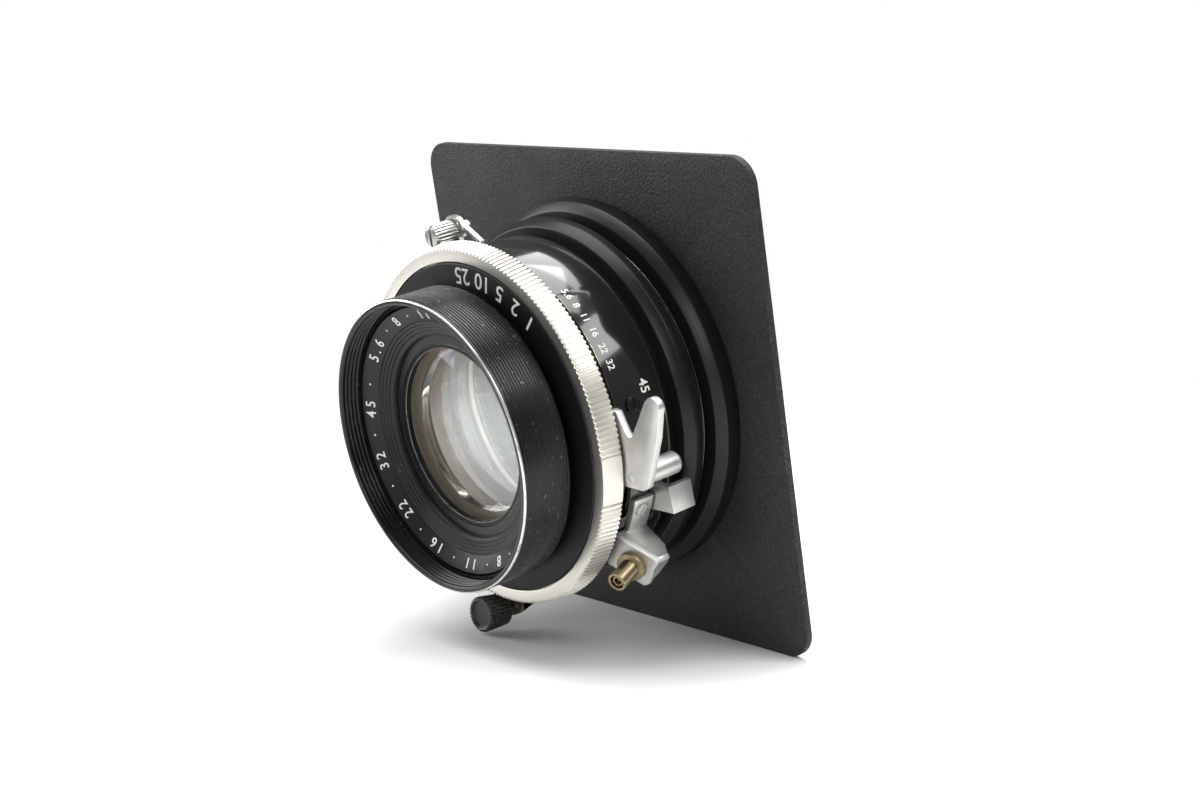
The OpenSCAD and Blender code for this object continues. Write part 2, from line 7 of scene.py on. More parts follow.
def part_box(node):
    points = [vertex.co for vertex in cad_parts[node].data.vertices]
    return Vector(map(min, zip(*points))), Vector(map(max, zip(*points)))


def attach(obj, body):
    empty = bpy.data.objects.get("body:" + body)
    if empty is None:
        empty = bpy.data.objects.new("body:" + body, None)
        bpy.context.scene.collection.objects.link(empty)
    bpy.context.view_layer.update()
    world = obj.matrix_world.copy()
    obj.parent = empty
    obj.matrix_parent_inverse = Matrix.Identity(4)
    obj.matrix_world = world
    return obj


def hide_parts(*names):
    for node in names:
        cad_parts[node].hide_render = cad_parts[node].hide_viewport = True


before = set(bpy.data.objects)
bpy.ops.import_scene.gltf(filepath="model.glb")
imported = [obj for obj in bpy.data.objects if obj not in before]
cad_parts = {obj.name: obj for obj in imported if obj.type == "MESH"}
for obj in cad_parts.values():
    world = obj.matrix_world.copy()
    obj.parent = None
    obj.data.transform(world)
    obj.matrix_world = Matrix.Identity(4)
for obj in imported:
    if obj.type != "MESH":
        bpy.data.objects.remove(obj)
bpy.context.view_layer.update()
mm = 0.001
seam = 0.0000005  # points nearer than this are one
forward = Vector((0, -1, 0))  # the way the lens looks; a depth is a distance along it
print("frame loaded:", len(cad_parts), "nodes")


# small helpers for modelling
def pickOnly(piece):
    bpy.ops.object.select_all(action="DESELECT")
    piece.select_set(True)
    bpy.context.view_layer.objects.active = piece


def angleOf(point):
    return degrees(atan2(point[2], point[0]))


def radiusOf(point):
    return hypot(point[0], point[2]) / mm


def onCircle(angle, radius, depth):
    return Vector((radius * cos(radians(angle)), -depth, radius * sin(radians(angle)))) * mm


def selectVertices(piece, wanted):
    bpy.ops.object.mode_set(mode="EDIT")
    bpy.ops.mesh.select_mode(type="VERT")
    bpy.ops.mesh.select_all(action="DESELECT")
    bpy.ops.object.mode_set(mode="OBJECT")
    for vertex in piece.data.vertices:
        vertex.select = wanted(vertex.co)
    bpy.ops.object.mode_set(mode="EDIT")


def closeSeams():
    bpy.ops.mesh.select_all(action="SELECT")
    bpy.ops.mesh.remove_doubles(threshold=seam)
    bpy.ops.mesh.normals_make_consistent(inside=False)
    bpy.ops.object.mode_set(mode="OBJECT")


def drawProfile(name, profile):
    # one vertex, extruded along a closed line of [radius, depth] points in millimetres
    bpy.ops.object.select_all(action="DESELECT")
    bpy.ops.mesh.primitive_plane_add(size=mm)
    piece = bpy.context.active_object
    piece.name = name
    bpy.ops.object.mode_set(mode="EDIT")
    bpy.ops.mesh.merge(type="CENTER")
    here = Vector((0, 0, 0))
    for index, (radius, depth) in enumerate(profile + profile[:1]):
        step = Vector((radius, -depth, 0)) * mm - here
        if index == 0:
            bpy.ops.transform.translate(value=step)
        else:
            bpy.ops.mesh.extrude_vertices_move(TRANSFORM_OT_translate={"value": step})
        here += step
    bpy.ops.mesh.select_all(action="SELECT")
    bpy.ops.mesh.remove_doubles(threshold=seam)
    return piece


def turnedPiece(name, profile, steps=192):
    piece = drawProfile(name, profile)
    bpy.ops.mesh.spin(steps=steps, angle=2 * pi, center=(0, 0, 0), axis=(0, 1, 0))
    closeSeams()
    return piece


def flutedPiece(name, profile, count, flute, rim):
    # one flute is spun in four steps, its rim pressed in, and the flute repeated round the axis
    piece = drawProfile(name, profile)
    pitch = 2 * pi / count
    for share in (0.3, 0.2, 0.3, 0.2):
        bpy.ops.mesh.spin(steps=1, angle=pitch * share, center=(0, 0, 0), axis=(0, 1, 0))
    bpy.ops.object.mode_set(mode="OBJECT")
    valley = (degrees(pitch) * 0.4, degrees(pitch) * 0.9)
    selectVertices(piece, lambda p: rim(radiusOf(p), -p[1] / mm)
                   and valley[0] < abs(angleOf(p)) < valley[1])
    outer = max(radiusOf(v.co) for v in piece.data.vertices)
    shrink = 1 - flute / outer
    bpy.ops.transform.resize(value=(shrink, 1, shrink), center_override=(0, 0, 0))
    bpy.ops.mesh.select_all(action="SELECT")
    bpy.ops.mesh.spin(steps=count - 1, angle=pitch * (count - 1), dupli=True,
                      center=(0, 0, 0), axis=(0, 1, 0))
    closeSeams()
    return piece


def softenEdges(piece, width, segments=2, limit=28):
    pickOnly(piece)
    bpy.ops.object.modifier_add(type="BEVEL")
    bevel = piece.modifiers[-1]
    bevel.width = width * mm
    bevel.segments = segments
    bevel.limit_method = "ANGLE"
    bevel.angle_limit = radians(limit)
    bpy.ops.object.modifier_apply(modifier=bevel.name)


def cutAway(piece, cutter):
    pickOnly(piece)
    bpy.ops.object.modifier_add(type="BOOLEAN")
    cut = piece.modifiers[-1]
    cut.operation = "DIFFERENCE"
    cut.object = cutter
    bpy.ops.object.modifier_apply(modifier=cut.name)
    bpy.data.objects.remove(cutter)


def placePiece(piece, matrix):
    pickOnly(piece)
    piece.matrix_world = matrix @ piece.matrix_world
    bpy.ops.object.transform_apply(location=True, rotation=True, scale=True)


def nodeCopy(node, name, width):
    # a copy of a CAD node's mesh, its triangles merged to flat faces and its edges softened
    piece = bpy.data.objects.new(name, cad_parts[node].data.copy())
    bpy.context.scene.collection.objects.link(piece)
    pickOnly(piece)
    if piece.data.has_custom_normals:
        bpy.ops.mesh.customdata_custom_splitnormals_clear()
    bpy.ops.object.mode_set(mode="EDIT")
    bpy.ops.mesh.select_all(action="SELECT")
    bpy.ops.mesh.remove_doubles(threshold=seam)
    bpy.ops.mesh.dissolve_limited(angle_limit=radians(0.4))
    bpy.ops.object.mode_set(mode="OBJECT")
    if width:
        softenEdges(piece, width)
    return piece


def roundFolds(piece, width, wanted):
    # rounds the edges whose middle and direction are wanted
    mesh = piece.data
    selectVertices(piece, lambda p: False)
    bpy.ops.mesh.select_mode(type="EDGE")
    bpy.ops.object.mode_set(mode="OBJECT")
    for edge in mesh.edges:
        first, last = (mesh.vertices[i].co for i in edge.vertices)
        edge.select = wanted((first + last) / 2, last - first)
    bpy.ops.object.mode_set(mode="EDIT")
    bpy.ops.mesh.bevel(offset=width * mm, segments=5)
    bpy.ops.mesh.select_mode(type="VERT")
    bpy.ops.object.mode_set(mode="OBJECT")


def finishPiece(piece, material, body, nodes=(), smooth=32):
    pickOnly(piece)
    bpy.ops.object.shade_smooth_by_angle(angle=radians(smooth))
    piece.data.materials.clear()
    piece.data.materials.append(material)
    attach(piece, body)
    if nodes:
        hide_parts(*nodes)


# shader node groups that several materials share
def newGroup(name, inputs, outputs):
    group = bpy.data.node_groups.new(name, "ShaderNodeTree")
    for label, value in inputs.items():
        socket = group.interface.new_socket(name=label, in_out="INPUT", socket_type="NodeSocketFloat")
        socket.default_value = value
    for label in outputs:
        group.interface.new_socket(name=label, in_out="OUTPUT", socket_type="NodeSocketFloat")
    entry = group.nodes.new("NodeGroupInput")
    leave = group.nodes.new("NodeGroupOutput")
    return group, entry, leave


def addNode(tree, kind, values=(), **settings):
    node = tree.nodes.new(kind)
    for key, value in settings.items():
        setattr(node, key, value)
    for key, value in dict(values).items():
        if isinstance(value, bpy.types.NodeSocket):
            tree.links.new(value, node.inputs[key])
        else:
            node.inputs[key].default_value = value
    return node


def mathNode(tree, operation, first, second=0.0):
    node = addNode(tree, "ShaderNodeMath", {0: first, 1: second}, operation=operation)
    return node.outputs[0]


def rangeNode(tree, value, low, high, toLow=0.0, toHigh=1.0):
    node = addNode(tree, "ShaderNodeMapRange",
                   {"Value": value, "From Min": low, "From Max": high, "To Min": toLow, "To Max": toHigh})
    return node.outputs[0]


def buildAxisPlace():
    # radius, depth and angle round the lens axis, in millimetres and degrees
    group, _, leave = newGroup("axisPlace", {}, ["Radius", "Depth", "Angle"])
    place = addNode(group, "ShaderNodeTexCoord").outputs["Object"]
    split = addNode(group, "ShaderNodeSeparateXYZ", {0: place})
    x, y, z = (mathNode(group, "MULTIPLY", split.outputs[i], 1 / mm) for i in range(3))
    squares = mathNode(group, "ADD", mathNode(group, "MULTIPLY", x, x), mathNode(group, "MULTIPLY", z, z))
    turn = mathNode(group, "ARCTAN2", z, x)
    group.links.new(mathNode(group, "SQRT", squares), leave.inputs["Radius"])
    group.links.new(mathNode(group, "MULTIPLY", y, -1.0), leave.inputs["Depth"])
    group.links.new(mathNode(group, "DEGREES", turn), leave.inputs["Angle"])
    return group


def buildTurningMarks():
    # fine circular tool marks round the lens axis
    group, entry, leave = newGroup("turningMarks", {"Pitch": 0.08}, ["Marks"])
    place = addGroup(group, axisPlace)
    pitch = mathNode(group, "DIVIDE", 1.0, entry.outputs["Pitch"])
    line = addNode(group, "ShaderNodeCombineXYZ", {
        0: mathNode(group, "MULTIPLY", place.outputs["Radius"], pitch),
        1: mathNode(group, "MULTIPLY", place.outputs["Depth"], pitch),
        2: mathNode(group, "MULTIPLY", place.outputs["Angle"], 0.02)})
    noise = addNode(group, "ShaderNodeTexNoise", {"Vector": line.outputs[0], "Scale": 1.0, "Detail": 3.0})
    group.links.new(noise.outputs[0], leave.inputs["Marks"])
    return group


def buildSurfaceGrain():
    # a soft, even grain of a given size in millimetres, and a coarser cloudiness
    group, entry, leave = newGroup("surfaceGrain", {"Size": 0.5}, ["Grain", "Clouds"])
    place = addNode(group, "ShaderNodeTexCoord").outputs["Object"]
    scale = mathNode(group, "DIVIDE", 1 / mm, entry.outputs["Size"])
    noise = addNode(group, "ShaderNodeTexNoise",
                    {"Vector": place, "Scale": scale, "Detail": 4.0, "Roughness": 0.6})
    wide = addNode(group, "ShaderNodeTexNoise", {"Vector": place, "Scale": 90.0, "Detail": 3.0})
    group.links.new(noise.outputs[0], leave.inputs["Grain"])
    group.links.new(wide.outputs[0], leave.inputs["Clouds"])
    return group


def buildEdgeWear():
    # 1 along edges, broken up by noise; Width is in metres
    group, entry, leave = newGroup("edgeWear", {"Width": 0.0001, "Amount": 0.5}, ["Wear"])
    bevel = addNode(group, "ShaderNodeBevel", {"Radius": entry.outputs["Width"]}, samples=4)
    flat = addNode(group, "ShaderNodeNewGeometry").outputs["Normal"]
    dot = addNode(group, "ShaderNodeVectorMath", {0: bevel.outputs[0], 1: flat}, operation="DOT_PRODUCT")
    edge = rangeNode(group, dot.outputs["Value"], 0.995, 0.9)
    place = addNode(group, "ShaderNodeTexCoord").outputs["Object"]
    noise = addNode(group, "ShaderNodeTexNoise", {"Vector": place, "Scale": 1400.0, "Detail": 5.0})
    low = mathNode(group, "SUBTRACT", 0.75, mathNode(group, "MULTIPLY", entry.outputs["Amount"], 0.5))
    chips = rangeNode(group, noise.outputs[0], low, mathNode(group, "ADD", low, 0.08))
    group.links.new(mathNode(group, "MULTIPLY", edge, chips), leave.inputs["Wear"])
    return group


def buildScratches():
    # thin scratches in three directions and small dust specks
    group, entry, leave = newGroup("handlingMarks", {"Density": 1.0}, ["Scratches", "Dust"])
    place = addNode(group, "ShaderNodeTexCoord").outputs["Object"]
    total = None
    for turn in (0.4, 1.5, 2.6):
        mapped = addNode(group, "ShaderNodeMapping", {"Vector": place, "Rotation": (turn, turn * 0.7, turn),
                                                      "Scale": (60.0, 2600.0, 60.0)})
        noise = addNode(group, "ShaderNodeTexNoise",
                        {"Vector": mapped.outputs[0], "Scale": 1.0, "Detail": 2.0})
        line = rangeNode(group, noise.outputs[0], 0.69, 0.76)
        total = line if total is None else mathNode(group, "MAXIMUM", total, line)
    cells = addNode(group, "ShaderNodeTexVoronoi", {"Vector": place, "Scale": 900.0})
    near = rangeNode(group, cells.outputs["Distance"], 0.13, 0.06)
    lot = addNode(group, "ShaderNodeTexWhiteNoise", {"Vector": cells.outputs["Color"]})
    dust = mathNode(group, "MULTIPLY", near, rangeNode(group, lot.outputs[0], 0.93, 0.94))
    group.links.new(mathNode(group, "MULTIPLY", total, entry.outputs["Density"]), leave.inputs["Scratches"])
    group.links.new(mathNode(group, "MULTIPLY", dust, entry.outputs["Density"]), leave.inputs["Dust"])
    return group


def addGroup(tree, group, **values):
    node = addNode(tree, "ShaderNodeGroup", node_tree=group)
    for key, value in values.items():
        node.inputs[key].default_value = value
    return node


axisPlace = buildAxisPlace()
turningMarks = buildTurningMarks()
surfaceGrain = buildSurfaceGrain()
edgeWear = buildEdgeWear()
handlingMarks = buildScratches()


def newMaterial(name, **plain):
    material = bpy.data.materials.new(name)
    material.use_nodes = True
    tree = material.node_tree
    shader = tree.nodes["Principled BSDF"]
    for key, value in plain.items():
        shader.inputs[key.replace("_", " ")].default_value = value
    return material, tree, shader


def mixColours(tree, factor, first, second):
    node = addNode(tree, "ShaderNodeMix", data_type="RGBA")
    for socket, value in ((0, factor), (6, first), (7, second)):
        if isinstance(value, bpy.types.NodeSocket):
            tree.links.new(value, node.inputs[socket])
        elif socket == 0:
            node.inputs[socket].default_value = value
        else:
            node.inputs[socket].default_value = (*value[:3], 1.0)
    return node.outputs[2]


def bumpNode(tree, shader, height, strength, distance):
    node = addNode(tree, "ShaderNodeBump",
                   {"Strength": strength, "Distance": distance * mm, "Height": height})
    tree.links.new(node.outputs[0], shader.inputs["Normal"])


# the pebble of the crinkle paint and its bump are in millimetres
boardLook = {"colour": (0.006, 0.0058, 0.0055), "pale": (0.035, 0.033, 0.031), "worn": (0.16, 0.155, 0.15),
             "dust": (0.12, 0.12, 0.115), "rough": (0.5, 0.68), "pebble": 0.36, "bump": 0.16}


def makeBoardPaint():
    material, tree, shader = newMaterial("boardPaint")
    grain = addGroup(tree, surfaceGrain, Size=boardLook["pebble"] * 0.6)
    place = addNode(tree, "ShaderNodeTexCoord").outputs["Object"]
    pebbles = addNode(tree, "ShaderNodeTexVoronoi", {"Vector": place, "Scale": 1 / mm / boardLook["pebble"]},
                      feature="SMOOTH_F1")
    bumps = mathNode(tree, "ADD", mathNode(tree, "MULTIPLY", pebbles.outputs["Distance"], -0.8),
                     mathNode(tree, "MULTIPLY", grain.outputs["Grain"], 0.7))
    wear = addGroup(tree, edgeWear, Width=0.0003, Amount=0.35)
    marks = addGroup(tree, handlingMarks, Density=0.6)
    tops = rangeNode(tree, bumps, -0.1, 0.35)
    colour = mixColours(tree, tops, boardLook["colour"], boardLook["pale"])
    colour = mixColours(tree, wear.outputs["Wear"], colour, boardLook["worn"])
    colour = mixColours(tree, marks.outputs["Dust"], colour, boardLook["dust"])
    tree.links.new(colour, shader.inputs["Base Color"])
    rough = rangeNode(tree, grain.outputs["Clouds"], 0.3, 0.7, *boardLook["rough"])
    tree.links.new(rough, shader.inputs["Roughness"])
    bumpNode(tree, shader, bumps, 0.9, boardLook["bump"])
    return material


turnedBlack = {"colour": (0.005, 0.005, 0.0052), "worn": (0.72, 0.71, 0.69), "rough": (0.28, 0.4),
               "marks": 0.08}


def makeTurnedBlack(name, colour=turnedBlack["colour"], rough=turnedBlack["rough"], wearAmount=0.3,
                    wearWidth=0.00012, bright=None, inside=None):
    # satin black turned metal; bright is a worn band, inside is painted light: a paler zone in the bore near
    # the glass that stands in for light seen through the glass
    material, tree, shader = newMaterial(name, Specular_IOR_Level=0.28)
    place = addGroup(tree, axisPlace)
    lines = addGroup(tree, turningMarks, Pitch=turnedBlack["marks"])
    grain = addGroup(tree, surfaceGrain, Size=0.25)
    wear = addGroup(tree, edgeWear, Width=wearWidth, Amount=wearAmount)
    worn = wear.outputs["Wear"]
    if bright:
        chips = rangeNode(tree, grain.outputs["Grain"], bright["chips"][0], bright["chips"][1])
        band = mathNode(tree, "MULTIPLY", rangeNode(tree, place.outputs["Depth"], *bright["depth"]),
                        rangeNode(tree, place.outputs["Radius"], *bright["radius"]))
        worn = mathNode(tree, "MAXIMUM", worn, mathNode(tree, "MULTIPLY", band, chips))
    shade = mixColours(tree, rangeNode(tree, lines.outputs["Marks"], 0.3, 0.7), colour,
                       tuple(c * 1.7 for c in colour))
    # painted light: the bore near the glass is mixed towards a pale colour instead of staying black
    if inside:
        near, deep = inside["radius"], inside["depth"]
        paintedLightZone = mathNode(tree, "MULTIPLY", rangeNode(tree, place.outputs["Radius"], near, near - 0.1),
                        rangeNode(tree, place.outputs["Depth"], deep, deep - 0.1))
        shade = mixColours(tree, paintedLightZone, shade, inside["colour"])
    tree.links.new(mixColours(tree, worn, shade, turnedBlack["worn"]), shader.inputs["Base Color"])
    tree.links.new(worn, shader.inputs["Metallic"])
    tree.links.new(rangeNode(tree, lines.outputs["Marks"], 0.3, 0.7, *rough), shader.inputs["Roughness"])
    bumpNode(tree, shader, lines.outputs["Marks"], 0.35, 0.012)
    return material


# the brass shows where the case's rear edge is rubbed, between two angles
glossLook = {"colour": (0.006, 0.006, 0.0065), "pale": (0.011, 0.011, 0.011), "dust": (0.1, 0.1, 0.1),
             "worn": (0.75, 0.62, 0.4), "rubStart": -46.0, "rubEnd": 6.0, "fade": 4.0}


def makeGlossBlack():
    material, tree, shader = newMaterial("glossBlack", Coat_Roughness=0.06)
    grain = addGroup(tree, surfaceGrain, Size=0.8)
    marks = addGroup(tree, handlingMarks, Density=0.7)
    wear = addGroup(tree, edgeWear, Width=0.00015, Amount=0.65)
    place = addGroup(tree, axisPlace)
    rearEdge = rangeNode(tree, place.outputs["Depth"], 13.95, 13.8)
    start, end, fade = glossLook["rubStart"], glossLook["rubEnd"], glossLook["fade"]
    side = mathNode(tree, "MULTIPLY", rangeNode(tree, place.outputs["Angle"], start, start + fade),
                    rangeNode(tree, place.outputs["Angle"], end, end - fade))
    rubbed = mathNode(tree, "MULTIPLY", mathNode(tree, "MULTIPLY", rearEdge, side),
                      rangeNode(tree, place.outputs["Radius"], 27.3, 27.4))
    worn = mathNode(tree, "MAXIMUM", wear.outputs["Wear"], rubbed)
    colour = mixColours(tree, grain.outputs["Clouds"], glossLook["colour"], glossLook["pale"])
    colour = mixColours(tree, marks.outputs["Dust"], colour, glossLook["dust"])
    tree.links.new(mixColours(tree, worn, colour, glossLook["worn"]), shader.inputs["Base Color"])
    tree.links.new(worn, shader.inputs["Metallic"])
    rough = mathNode(tree, "ADD", rangeNode(tree, grain.outputs["Clouds"], 0.3, 0.7, 0.1, 0.17),
                     mathNode(tree, "MULTIPLY", marks.outputs["Scratches"], 0.12))
    tree.links.new(rough, shader.inputs["Roughness"])
    tree.links.new(rangeNode(tree, grain.outputs["Clouds"], 0.2, 0.8, 0.5, 0.7), shader.inputs["Coat Weight"])
    bumpNode(tree, shader, grain.outputs["Grain"], 0.12, 0.004)
    return material


def makeMetal(name, colour, dark, rough, grainSize, bump, scratch=0.5, turned=False, stain=0.25):
    # bare or plated metal with a fine grain, faint stains, scratches and polished edges;
    # the grain's size and its bump are in millimetres
    material, tree, shader = newMaterial(name, Metallic=1.0)
    grain = addGroup(tree, surfaceGrain, Size=grainSize)
    marks = addGroup(tree, handlingMarks, Density=scratch)
    wear = addGroup(tree, edgeWear, Width=0.00012, Amount=0.9)
    height = grain.outputs["Grain"]
    if turned:
        height = addGroup(tree, turningMarks, Pitch=grainSize).outputs["Marks"]
    stains = rangeNode(tree, grain.outputs["Clouds"], 0.42, 0.75, 0.0, stain)
    shade = mixColours(tree, stains, colour, dark)
    hollows = mathNode(tree, "MULTIPLY", rangeNode(tree, height, 0.35, 0.65), 0.35)
    shade = mixColours(tree, hollows, shade, dark)
    shade = mixColours(tree, mathNode(tree, "MULTIPLY", marks.outputs["Scratches"], 0.5), shade, dark)
    shade = mixColours(tree, mathNode(tree, "MULTIPLY", wear.outputs["Wear"], 0.6), shade,
                       tuple(min(1.0, c * 1.12) for c in colour))
    tree.links.new(shade, shader.inputs["Base Color"])
    spread = rangeNode(tree, height, 0.3, 0.7, *rough)
    smoother = mathNode(tree, "SUBTRACT", spread, mathNode(tree, "MULTIPLY", wear.outputs["Wear"], 0.1))
    tree.links.new(smoother, shader.inputs["Roughness"])
    bumpNode(tree, shader, height, 0.3, bump)
    return material


knobLook = {"colour": (0.012, 0.011, 0.01), "pale": (0.035, 0.03, 0.026), "worn": (0.5, 0.48, 0.44)}


def makeKnobBlack():
    # black oxide, rubbed bright on its ridges
    material, tree, shader = newMaterial("knobBlack")
    grain = addGroup(tree, surfaceGrain, Size=0.18)
    wear = addGroup(tree, edgeWear, Width=0.00018, Amount=0.62)
    worn = mathNode(tree, "MULTIPLY", wear.outputs["Wear"], 0.8)
    colour = mixColours(tree, grain.outputs["Grain"], knobLook["colour"], knobLook["pale"])
    tree.links.new(mixColours(tree, worn, colour, knobLook["worn"]), shader.inputs["Base Color"])
    tree.links.new(worn, shader.inputs["Metallic"])
    tree.links.new(rangeNode(tree, grain.outputs["Clouds"], 0.3, 0.7, 0.32, 0.48), shader.inputs["Roughness"])
    bumpNode(tree, shader, grain.outputs["Grain"], 0.3, 0.01)
    return material


def makeGlass(name, tint, film, index):
    # polished, coated glass; the coating's thickness is in nanometres
    material, tree, shader = newMaterial(name, Transmission_Weight=1.0, IOR=index, Thin_Film_Thickness=film,
                                         Thin_Film_IOR=1.38)
    grain = addGroup(tree, surfaceGrain, Size=2.0)
    tree.links.new(mixColours(tree, grain.outputs["Clouds"], tint, tuple(c * 0.985 for c in tint)),
                   shader.inputs["Base Color"])
    tree.links.new(rangeNode(tree, grain.outputs["Clouds"], 0.3, 0.8, 0.0, 0.012), shader.inputs["Roughness"])
    return material


def makeSpeckled(name, dark, pale, size):
    # filled paint or moulded plastic, in two near shades
    material, tree, shader = newMaterial(name)
    grain = addGroup(tree, surfaceGrain, Size=size)
    tree.links.new(mixColours(tree, grain.outputs["Grain"], dark, pale), shader.inputs["Base Color"])
    tree.links.new(rangeNode(tree, grain.outputs["Grain"], 0.3, 0.7, 0.4, 0.6), shader.inputs["Roughness"])
    bumpNode(tree, shader, grain.outputs["Grain"], 0.3, 0.01)
    return material


boardPaint = makeBoardPaint()
satinBlack = makeTurnedBlack("satinBlack")
plateBlack = makeTurnedBlack("plateBlack", colour=(0.003, 0.003, 0.003), rough=(0.4, 0.5), wearAmount=0.1)
ringGrey = makeTurnedBlack("ringGrey", colour=(0.006, 0.006, 0.0062), rough=(0.34, 0.44), wearAmount=0.15)
retainerBlack = makeTurnedBlack("retainerBlack", rough=(0.4, 0.55), wearAmount=0.75)
# painted reflection: the bore behind the front glass is pale beige, standing in for light grazing its inner
# walls
barrelBlack = makeTurnedBlack(
    "barrelBlack", rough=(0.2, 0.3), wearAmount=0.2,
    bright={"depth": (38.93, 39.05), "radius": (23.4, 23.48), "chips": (0.32, 0.46)},
    inside={"radius": 14.93, "depth": 31.0, "colour": (0.3, 0.26, 0.215)})
extensionBlack = makeTurnedBlack("extensionBlack", wearAmount=0.85, wearWidth=0.00018)
# painted light: the rear bore is near white, standing in for the bright backdrop seen through the lens
rearBlack = makeTurnedBlack("rearBlack", inside={"radius": 13.2, "depth": 13.0, "colour": (0.85, 0.85, 0.83)})
glossBlack = makeGlossBlack()
knobBlack = makeKnobBlack()
satinChrome = makeMetal("satinChrome", (0.76, 0.74, 0.69), (0.5, 0.48, 0.43), (0.34, 0.46), 0.09, 0.006, 0.2,
                        turned=True)
brightChrome = makeMetal("brightChrome", (0.66, 0.66, 0.64), (0.3, 0.3, 0.28), (0.26, 0.36), 0.3, 0.004)
platedSteel = makeMetal("platedSteel", (0.67, 0.67, 0.655), (0.43, 0.43, 0.415), (0.38, 0.52), 0.2, 0.012,
                        0.9)
bronze = makeMetal("socketBronze", (0.33, 0.27, 0.17), (0.12, 0.095, 0.055), (0.28, 0.42), 0.2, 0.008, 0.6,
                   stain=0.7)
mechanismBrass = makeMetal("mechanismBrass", (0.5, 0.37, 0.2), (0.22, 0.15, 0.08), (0.35, 0.5), 0.1, 0.008,
                           turned=True, stain=0.5)
leafSteel = makeMetal("leafSteel", (0.26, 0.26, 0.28), (0.12, 0.12, 0.13), (0.3, 0.42), 0.2, 0.004, 0.9)
frontGlass = makeGlass("frontGlass", (0.99, 0.975, 0.955), 125.0, 1.5)
innerGlass = makeGlass("innerGlass", (0.995, 0.99, 0.98), 105.0, 1.12)
figureWhite = makeSpeckled("figureWhite", (0.62, 0.61, 0.57), (0.86, 0.85, 0.8), 0.3)
insulator = makeSpeckled("insulator", (0.012, 0.009, 0.007), (0.03, 0.024, 0.018), 0.2)
print("materials made")


# pieces copied from the CAD nodes: material, slot, width of the softened edges in mm, body
nodeLooks = {
    "lens_board": (boardPaint, "board_paint", 0.3, "housing"),
    "board_extension": (extensionBlack, "satin_black", 0.12, "housing"),
    "extension_screws": (knobBlack, "black_steel", 0.05, "housing"),
    "retaining_ring": (satinBlack, "satin_black", 0.1, "housing"),
    "shutter_case": (glossBlack, "gloss_black", 0.06, "housing"),
    "shutter_base": (satinBlack, "satin_black", 0.08, "housing"),
    "front_plate": (plateBlack, "satin_black", 0.05, "housing"),
    "cocking_lever": (platedSteel, "plated_steel", 0.14, "cocking"),
    "cocking_stud": (platedSteel, "plated_steel", 0.06, "cocking"),
    "release_lever": (platedSteel, "plated_steel", 0.12, "release"),
    "bracket_screw": (platedSteel, "plated_steel", 0.06, "housing"),
    "barrel_screw": (satinBlack, "black_steel", 0.07, "housing"),
    "socket_shell": (bronze, "socket_bronze", 0.06, "housing"),
    "socket_pin": (bronze, "socket_bronze", 0.03, "housing"),
    "lock_clip": (brightChrome, "satin_chrome", 0.08, "housing"),
    "name_ring": (ringGrey, "satin_black", 0.03, "housing"),
    "front_retainer": (retainerBlack, "satin_black", 0.06, "housing"),
    "rear_barrel": (rearBlack, "satin_black", 0.15, "housing"),
    "rear_retainer": (retainerBlack, "satin_black", 0.06, "housing"),
    "aperture_ring": (mechanismBrass, "mechanism_brass", 0.04, "aperture"),
}
for node, (material, slot, width, body) in nodeLooks.items():
    finishPiece(nodeCopy(node, node + "_finished", width), material, body, [node])

# the bracket is folded sheet, so its outer folds are round; turned level, its slope starts at the fold
bracket = {"turn": -34, "tilt": 20, "fold": (28.4, 23.3), "far": 35.2, "round": 0.55, "edge": 0.12}


def makeBracket():
    piece = nodeCopy("socket_bracket", "socketBracket", 0)
    inward = Matrix.Rotation(radians(bracket["turn"]), 3, "Y")
    slope = Vector((cos(radians(bracket["tilt"])), sin(radians(bracket["tilt"]))))

    def onFold(middle, along):
        place = inward @ middle / mm
        across = inward @ along / mm
        depth = -place.y
        gap = (place.x - bracket["fold"][0]) * slope[1] + (depth - bracket["fold"][1]) * slope[0]
        onTop = place.z > 0.3 and abs(across.z) < 0.2
        atEnd = place.x > bracket["far"]
        topFold = onTop and abs(gap) < 0.15 and across.length > 3
        endFold = atEnd and abs(across.z) > 1.5 and depth > 20
        return topFold or endFold or (atEnd and onTop and abs(across.x) < 0.8)

    roundFolds(piece, bracket["round"], onFold)
    softenEdges(piece, bracket["edge"])
    finishPiece(piece, platedSteel, "housing", ["socket_bracket"])


makeBracket()

plainLooks = {
    "base_screws": platedSteel, "release_pivot": platedSteel, "release_spring": platedSteel,
    "blade_plate": platedSteel, "blade_ring": mechanismBrass, "socket_insulator": insulator,
}
for node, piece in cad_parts.items():
    material = plainLooks.get(node)
    if node.startswith(("iris_leaf", "shutter_blade")):
        material = leafSteel
    if material:
        for place in piece.material_slots:
            place.material = material
print("CAD nodes finished")


# glass with true spherical faces: rim radius, rear and front edge depth, rear and front curve, glass;
# a negative curve is hollow
elements = {
    "front_glass_1": (14.85, 29.1, 31.2, -60, 44, frontGlass),
    "front_glass_2": (12.9, 26.2, 28.3, -40, 50, innerGlass),
    "front_glass_3": (12.9, 23.7, 25.9, 60, -40, innerGlass),
    "rear_glass_1": (12.9, 9.6, 12.2, -45, 60, innerGlass),
    "rear_glass_2": (12.9, 6, 8.6, 50, -40, innerGlass),
    "rear_glass_3": (14.9, -3, 0.5, 44, -60, frontGlass),
}


def faceLine(rim, edge, curve, side):
    # points from the axis to the rim along a spherical face; side is 1 for a front face
    steps = 18
    reach = rim if curve > 0 else rim - 0.4
    sign = side if curve > 0 else -side
    line = []
    for step in range(steps + 1):
        radius = reach * step / steps
        rise = (curve * curve - radius * radius) ** 0.5 - (curve * curve - reach * reach) ** 0.5
        line.append((radius, edge + sign * rise))
    return line if curve > 0 else line + [(rim, edge)]


